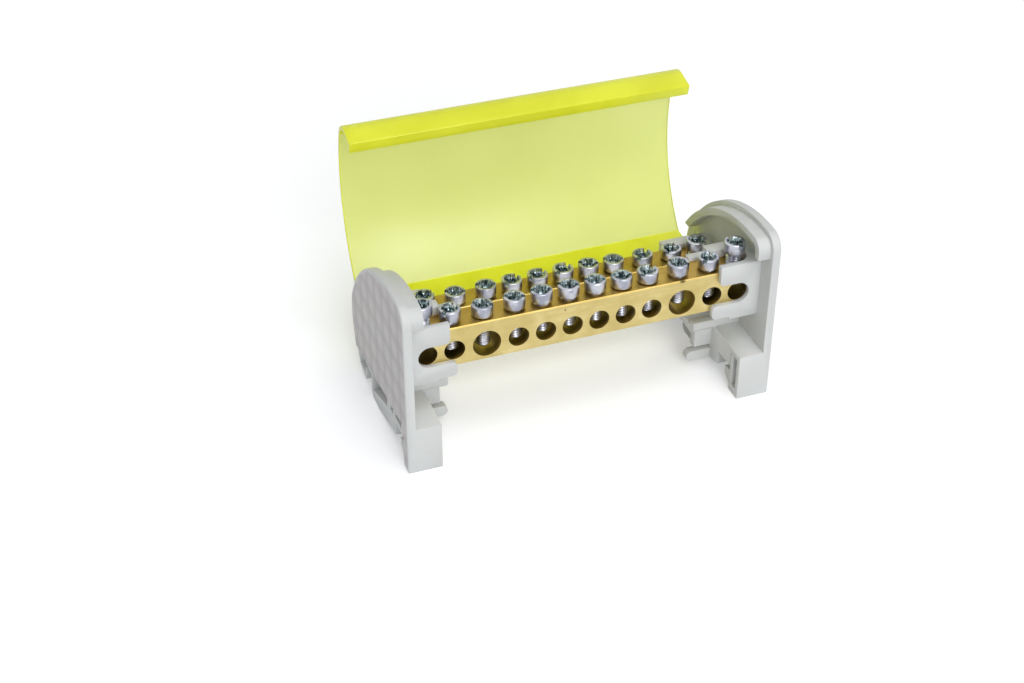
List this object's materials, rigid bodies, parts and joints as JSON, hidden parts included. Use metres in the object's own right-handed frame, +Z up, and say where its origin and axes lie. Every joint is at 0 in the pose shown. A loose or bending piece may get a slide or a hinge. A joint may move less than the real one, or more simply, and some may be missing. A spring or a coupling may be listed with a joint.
{
  "type": "power distribution block",
  "caption": "Rail-mounted distribution block: front and rear brass bars with clamping screws over wire holes, held by grey end brackets under a hinged clear yellow cover, shown open.",
  "frame": {"origin": "mid-length on the centre line of the mounting rail, in the plane of the rail's top faces", "axes": "+X along the bars and the rail, +Y to the rear where the cover is hinged, +Z up, away from the rail"},
  "size_m": [0.0972, 0.0637, 0.0658],
  "materials": {
    "brass": "drawn bar with sawn and drilled faces, fine lengthwise lines",
    "zinc_steel": "bright zinc-plated steel with a faint blue tint",
    "bracket_moulding": "light grey moulding, outer faces with a shallow lozenge texture",
    "cover_sheet": "clear yellow sheet, glossy, brighter where it is seen edge on"
  },
  "bodies": {
    "block": {"front_bar": "brass", "rear_bar": "brass", "left_bracket": "bracket_moulding", "right_bracket": "bracket_moulding"},
    "cover": {"cover": "cover_sheet"},
    "front_screw_01": {"front_screw_01": "zinc_steel"},
    "front_screw_02": {"front_screw_02": "zinc_steel"},
    "front_screw_03": {"front_screw_03": "zinc_steel"},
    "front_screw_04": {"front_screw_04": "zinc_steel"},
    "front_screw_05": {"front_screw_05": "zinc_steel"},
    "front_screw_06": {"front_screw_06": "zinc_steel"},
    "front_screw_07": {"front_screw_07": "zinc_steel"},
    "front_screw_08": {"front_screw_08": "zinc_steel"},
    "front_screw_09": {"front_screw_09": "zinc_steel"},
    "front_screw_10": {"front_screw_10": "zinc_steel"},
    "front_screw_11": {"front_screw_11": "zinc_steel"},
    "front_screw_12": {"front_screw_12": "zinc_steel"},
    "rear_screw_01": {"rear_screw_01": "zinc_steel"},
    "rear_screw_02": {"rear_screw_02": "zinc_steel"},
    "rear_screw_03": {"rear_screw_03": "zinc_steel"},
    "rear_screw_04": {"rear_screw_04": "zinc_steel"},
    "rear_screw_05": {"rear_screw_05": "zinc_steel"},
    "rear_screw_06": {"rear_screw_06": "zinc_steel"},
    "rear_screw_07": {"rear_screw_07": "zinc_steel"},
    "rear_screw_08": {"rear_screw_08": "zinc_steel"},
    "rear_screw_09": {"rear_screw_09": "zinc_steel"},
    "rear_screw_10": {"rear_screw_10": "zinc_steel"},
    "rear_screw_11": {"rear_screw_11": "zinc_steel"},
    "rear_screw_12": {"rear_screw_12": "zinc_steel"}
  },
  "joints": [
    {"name": "cover_hinge", "type": "hinge", "parent": "block", "child": "cover", "pos_m": [0, 0.0192, 0.0112], "axis": [1, 0, 0], "range_deg": [0, 62]},
    {"name": "front_screw_01_travel", "type": "slide", "parent": "block", "child": "front_screw_01", "axis": [0, 0, 1], "range_m": [-0.0035, 0.00135]},
    {"name": "front_screw_02_travel", "type": "slide", "parent": "block", "child": "front_screw_02", "axis": [0, 0, 1], "range_m": [-0.0008, 0.00405]},
    {"name": "front_screw_03_travel", "type": "slide", "parent": "block", "child": "front_screw_03", "axis": [0, 0, 1], "range_m": [-0.00015, 0.0047]},
    {"name": "front_screw_04_travel", "type": "slide", "parent": "block", "child": "front_screw_04", "axis": [0, 0, 1], "range_m": [-0.00045, 0.0044]},
    {"name": "front_screw_05_travel", "type": "slide", "parent": "block", "child": "front_screw_05", "axis": [0, 0, 1], "range_m": [-0.0007, 0.00415]},
    {"name": "front_screw_06_travel", "type": "slide", "parent": "block", "child": "front_screw_06", "axis": [0, 0, 1], "range_m": [-0.0007, 0.00415]},
    {"name": "front_screw_07_travel", "type": "slide", "parent": "block", "child": "front_screw_07", "axis": [0, 0, 1], "range_m": [-0.00055, 0.0043]},
    {"name": "front_screw_08_travel", "type": "slide", "parent": "block", "child": "front_screw_08", "axis": [0, 0, 1], "range_m": [-0.0002, 0.00465]},
    {"name": "front_screw_09_travel", "type": "slide", "parent": "block", "child": "front_screw_09", "axis": [0, 0, 1], "range_m": [-0.00015, 0.0047]},
    {"name": "front_screw_10_travel", "type": "slide", "parent": "block", "child": "front_screw_10", "axis": [0, 0, 1], "range_m": [-0.00055, 0.0043]},
    {"name": "front_screw_11_travel", "type": "slide", "parent": "block", "child": "front_screw_11", "axis": [0, 0, 1], "range_m": [-0.0005, 0.00435]},
    {"name": "front_screw_12_travel", "type": "slide", "parent": "block", "child": "front_screw_12", "axis": [0, 0, 1], "range_m": [-0.0035, 0.00135]},
    {"name": "rear_screw_01_travel", "type": "slide", "parent": "block", "child": "rear_screw_01", "axis": [0, 0, 1], "range_m": [-0.00055, 0.0043]},
    {"name": "rear_screw_02_travel", "type": "slide", "parent": "block", "child": "rear_screw_02", "axis": [0, 0, 1], "range_m": [-0.001, 0.00385]},
    {"name": "rear_screw_03_travel", "type": "slide", "parent": "block", "child": "rear_screw_03", "axis": [0, 0, 1], "range_m": [-0.00015, 0.0047]},
    {"name": "rear_screw_04_travel", "type": "slide", "parent": "block", "child": "rear_screw_04", "axis": [0, 0, 1], "range_m": [-0.0004, 0.00445]},
    {"name": "rear_screw_05_travel", "type": "slide", "parent": "block", "child": "rear_screw_05", "axis": [0, 0, 1], "range_m": [-0.00045, 0.0044]},
    {"name": "rear_screw_06_travel", "type": "slide", "parent": "block", "child": "rear_screw_06", "axis": [0, 0, 1], "range_m": [-0.00055, 0.0043]},
    {"name": "rear_screw_07_travel", "type": "slide", "parent": "block", "child": "rear_screw_07", "axis": [0, 0, 1], "range_m": [-0.0007, 0.00415]},
    {"name": "rear_screw_08_travel", "type": "slide", "parent": "block", "child": "rear_screw_08", "axis": [0, 0, 1], "range_m": [-0.00065, 0.0042]},
    {"name": "rear_screw_09_travel", "type": "slide", "parent": "block", "child": "rear_screw_09", "axis": [0, 0, 1], "range_m": [-0.00035, 0.0045]},
    {"name": "rear_screw_10_travel", "type": "slide", "parent": "block", "child": "rear_screw_10", "axis": [0, 0, 1], "range_m": [-0.00025, 0.0046]},
    {"name": "rear_screw_11_travel", "type": "slide", "parent": "block", "child": "rear_screw_11", "axis": [0, 0, 1], "range_m": [-0.00025, 0.0046]},
    {"name": "rear_screw_12_travel", "type": "slide", "parent": "block", "child": "rear_screw_12", "axis": [0, 0, 1], "range_m": [-0.0014, 0.00345]}
  ]
}
